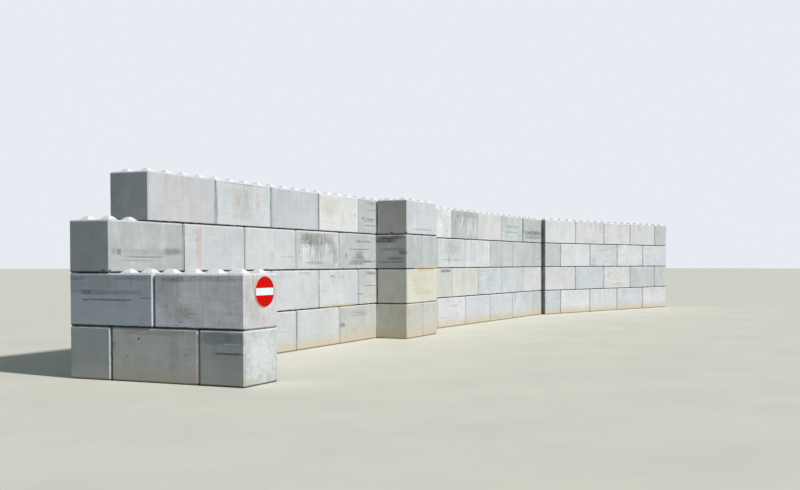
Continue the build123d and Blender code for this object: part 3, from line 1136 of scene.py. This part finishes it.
bay1 = run_of_wall(corner, corner)
for course in range(1, WALL_COURSES + 1):
    first_cell = 0 if course % 2 else 1
    for number, (start, cells) in enumerate(course_bond(first_cell, BAY1_CELLS), 1):
        lone_block(f"bay1_course{course}_block{number}", seat(bay1, start, cells, course), cells)

wing = run_of_wall(corner, corner + CELL, -pi / 2)
for course in range(1, WING_COURSES + 1):
    first_cell = 1 if course % 2 else 0
    for number, (start, cells) in enumerate(course_bond(first_cell, WING_CELLS), 1):
        node = f"wing_course{course}_block{number}"
        lone_block(node, seat(wing, start, cells, course), cells)

# The pier's pairs of blocks lie across it and along it in turn
pier_start = corner + BAY1_CELLS * CELL - JOINT + BUTT_GAP
pier = run_of_wall(pier_start, corner - CELL)
for course in range(1, WALL_COURSES + 1):
    across = course % 2 == 1
    for number in range(PIER_CELLS):
        if across:
            where = seat(pier, number, FULL, course, across=True)
        else:
            where = seat(pier, 0, FULL, course, row=number)
        side = ("left", "right")[number] if across else ("front", "back")[number]
        lone_block(f"pier_course{course}_{side}", where, FULL)

# Bay 2 touches the pier's far face with its front end corner
pier_far_face = pier_start + PIER_CELLS * CELL - JOINT / 2
bay2_turn = Matrix.Rotation(BAY2_ANGLE, 4, "Z")
bay2_touch = bay2_turn @ Vector((JOINT / 2, JOINT / 2 + CHAMFER, 0))
bay2_start = pier_far_face + BUTT_GAP - bay2_touch.x
bay2 = run_of_wall(bay2_start, corner + BAY2_SETBACK, BAY2_ANGLE)
for course in range(1, WALL_COURSES + 1):
    bond = course_bond(0, BAY2_CELLS, FULL if course % 2 else HALF)
    whole_course(f"bay2_course{course}", bay2, course, bond)

# Bay 3 touches bay 2's end corner with its end face, and stands out from it
bay2_length = BAY2_CELLS * CELL - JOINT / 2
bay2_end_corner = bay2 @ Vector((bay2_length, JOINT / 2, 0))
bay2_end_touch = bay2 @ Vector((bay2_length, JOINT / 2 + CHAMFER, 0))
bay3_turn = Matrix.Rotation(BAY3_ANGLE, 4, "Z")
to_bay3 = bay3_turn.inverted()
bay3_along = (to_bay3 @ bay2_end_touch).x + BUTT_GAP - JOINT / 2
bay3_back = (to_bay3 @ bay2_end_corner).y - BAY3_PROJECTION - JOINT / 2
bay3_corner = bay3_turn @ Vector((bay3_along, bay3_back, 0))
bay3 = run_of_wall(bay3_corner.x, bay3_corner.y, BAY3_ANGLE)
for course in range(1, WALL_COURSES + 1):
    bond = course_bond(0, BAY3_CELLS, HALF if course % 2 else FULL)
    whole_course(f"bay3_course{course}", bay3, course, bond)

for master in masters.values():
    delete(master)


# Sign

SIGN_RIM = 0.004
SIGN_ROLL = 0.002
BAR_HALF_HEIGHT = 0.052
BAR_HALF_LENGTH = 0.204

# The sign's enamels, in the order of its material slots: name, colour and roughness
ENAMELS = (
    ("sign_red", (0.68, 0.006, 0.003), 0.42),
    ("sign_white", (0.90, 0.91, 0.92), 0.40),
    ("sign_back", (0.45, 0.46, 0.47), 0.50),
)
RED, WHITE, BACK = range(len(ENAMELS))

# A face of the sign is part of its back if its normal points back by more than this
BACKWARD = 0.3

# Relief of the enamel in metres
ENAMEL_RELIEF = 0.0006


def sign_finish(name, colour, roughness):
    """Enamelled sheet, a little faded and dusty."""
    material = new_material(name)
    recipe = Recipe(material.node_tree)
    spot = recipe.node("TexCoord").outputs["Object"]
    cloud = recipe.noise(spot, 9.0, 4, 0.6)
    run = recipe.drawn_noise(spot, (90.0, 90.0, 5.0), 3, 0.6)
    speck = recipe.rise(recipe.noise(spot, 240.0, 2, 0.6), 0.68, 0.78, 0.0, 0.5)
    shade = recipe.scaled(colour, recipe.rise(cloud, 0.2, 0.8, 0.94, 1.06))
    shade = recipe.blend(recipe.rise(run, 0.5, 0.8, 0.0, 0.06), shade, GRIME_AND_PAINTED_SHADE)
    shade = recipe.blend(speck, shade, GRIME_AND_PAINTED_SHADE)
    rough = recipe.rise(cloud, 0.2, 0.8, roughness, roughness + 0.15)
    principled(material, shade, rough, recipe.times(cloud, ENAMEL_RELIEF), specular=0.03)
    return material


def from_middle(place, centre):
    """How far out from the sign's middle a place on it lies."""
    return Vector((place.x - centre.x, place.z - centre.z)).length


def cut_round_bar(sign, centre):
    """Cuts the red face along the four sides of the white bar."""

    def on_red_face(face):
        middle = face.calc_center_median()
        return face.normal.y < -SQUARELY and from_middle(middle, centre) < SIGN_DIAMETER / 2 - SIGN_RIM

    for axis, half_size in ((0, BAR_HALF_LENGTH), (2, BAR_HALF_HEIGHT)):
        for side in (-1, 1):
            pick(sign, "faces", on_red_face)
            edge = centre + normal_along(axis) * side * half_size
            bpy.ops.mesh.bisect(plane_co=edge, plane_no=normal_along(axis))


def traffic_sign():
    """A pressed round plate: rim turned back, red face, white rim line and white bar."""
    face_y = corner + CELL - WING_CELLS * CELL + JOINT / 2
    front_y = face_y - SIGN_DEPTH
    centre = Vector((corner + SIGN_FROM_CORNER, face_y - SIGN_DEPTH / 2, SIGN_HEIGHT))
    deselect_all()
    bpy.ops.mesh.primitive_cylinder_add(
        vertices=128, radius=SIGN_DIAMETER / 2, depth=SIGN_DEPTH, location=centre, rotation=(pi / 2, 0, 0)
    )
    sign = bpy.context.object
    settle(sign)
    start_editing(sign)
    pick(sign, "faces", lambda face: face.normal.y > SQUARELY)
    bpy.ops.mesh.inset(thickness=SIGN_SHEET)
    bpy.ops.mesh.extrude_region_move(TRANSFORM_OT_translate={"value": (0, SIGN_SHEET - SIGN_DEPTH, 0)})
    bpy.ops.mesh.select_mode(type="EDGE")
    pick(sign, "edges", lambda edge: all(abs(vert.co.y - front_y) < HAIR for vert in edge.verts))
    bpy.ops.mesh.bevel(offset=SIGN_ROLL, segments=4, profile=0.5)
    bpy.ops.mesh.select_mode(type="FACE")
    pick(sign, "faces", lambda face: face.normal.y < -SQUARELY and len(face.verts) > 8)
    bpy.ops.mesh.inset(thickness=SIGN_RIM - SIGN_ROLL)
    cut_round_bar(sign, centre)
    deselect_all()
    for enamel in ENAMELS:
        sign.data.materials.append(sign_finish(*enamel))
    for face in sign.data.polygons:
        offset = face.center - centre
        on_side = abs(face.normal.y) <= BACKWARD and face.center.y > front_y + SIGN_ROLL * 0.9
        on_bar = abs(offset.x) < BAR_HALF_LENGTH and abs(offset.z) < BAR_HALF_HEIGHT
        if face.normal.y > BACKWARD or on_side:
            face.material_index = BACK
        elif on_bar or from_middle(face.center, centre) > SIGN_DIAMETER / 2 - SIGN_RIM:
            face.material_index = WHITE
        else:
            face.material_index = RED
    finish_piece(sign, "no_entry_sign")


traffic_sign()


# Floor, light and camera

FLOOR_RADIUS = 260
PALE_FLOOR = (0.80, 0.77, 0.66, 1)
FLOOR_BOUNCE = (0.40, 0.40, 0.385, 1)
PALE_SKY = (0.80, 0.84, 0.89, 1)
SKY_FILL = (0.125, 0.161, 0.181, 1)

SUN_STRENGTH = 3.1
SUN_SOFTNESS = radians(4)
SUN_DIRECTION = Vector((0.12, 1.0, -0.83))

# The photograph's lens and framing, and its viewer's eye: where it is, and where it looks
SENSOR_WIDTH, LENS = 36, 40.34
SHIFT_X, SHIFT_Y = -0.15, 0.0469
FARTHEST = 500
EYE = (-10.76, -10.71, 1.76)
YAW, PITCH = radians(20.25), radians(-1.29)


def lay_floor():
    """A pale floor, which looks paler to the camera than it lights the wall."""
    deselect_all()
    bpy.ops.mesh.primitive_circle_add(vertices=96, radius=FLOOR_RADIUS, fill_type="NGON", location=(0, 0, 0))
    floor = bpy.context.object
    floor.name = "pale_floor"
    material = new_material("pale_floor")
    recipe = Recipe(material.node_tree)
    seen = recipe.node("LightPath").outputs["Is Camera Ray"]
    spot = recipe.node("TexCoord").outputs["Object"]
    tint = recipe.rise(recipe.noise(spot, 0.6, 4, 0.6), 0.3, 0.7, 0.97, 1.03)
    colour = recipe.scaled(recipe.blend(seen, FLOOR_BOUNCE, PALE_FLOOR), tint)
    principled(material, colour, roughness=0.9, height=0.0)
    floor.data.materials.append(material)


def light_sky():
    """A soft sky, which looks paler to the camera and in gloss than it lights the wall."""
    world = bpy.data.worlds.new("pale_sky")
    bpy.context.scene.world = world
    world.use_nodes = True
    world.node_tree.nodes.clear()
    recipe = Recipe(world.node_tree)
    path = recipe.node("LightPath")
    seen = recipe.math("MAXIMUM", path.outputs["Is Camera Ray"], path.outputs["Is Glossy Ray"])
    colour = recipe.blend(seen, SKY_FILL, PALE_SKY)
    background = recipe.node("Background", {"Color": colour, "Strength": 1.0})
    recipe.node("OutputWorld", {"Surface": background.outputs[0]})


def hang_lamp():
    """One soft sun from the lit side of the wall, high and a little to the left."""
    sun = bpy.data.lights.new("soft_sun", "SUN")
    sun.energy = SUN_STRENGTH
    sun.angle = SUN_SOFTNESS
    lamp = bpy.data.objects.new("soft_sun", sun)
    bpy.context.collection.objects.link(lamp)
    lamp.rotation_euler = SUN_DIRECTION.to_track_quat("-Z", "Y").to_euler()


def set_camera():
    """The photograph's place, direction and framing."""
    camera = bpy.data.cameras.new("camera")
    camera.sensor_width = SENSOR_WIDTH
    camera.lens = LENS
    camera.shift_x = SHIFT_X
    camera.shift_y = SHIFT_Y
    camera.clip_end = FARTHEST
    eye = bpy.data.objects.new("camera", camera)
    bpy.context.collection.objects.link(eye)
    eye.location = EYE
    eye.rotation_euler = (pi / 2 + PITCH, 0, YAW - pi / 2)
    bpy.context.scene.camera = eye


lay_floor()
light_sky()
hang_lamp()
set_camera()
bpy.context.scene.view_settings.view_transform = "Standard"
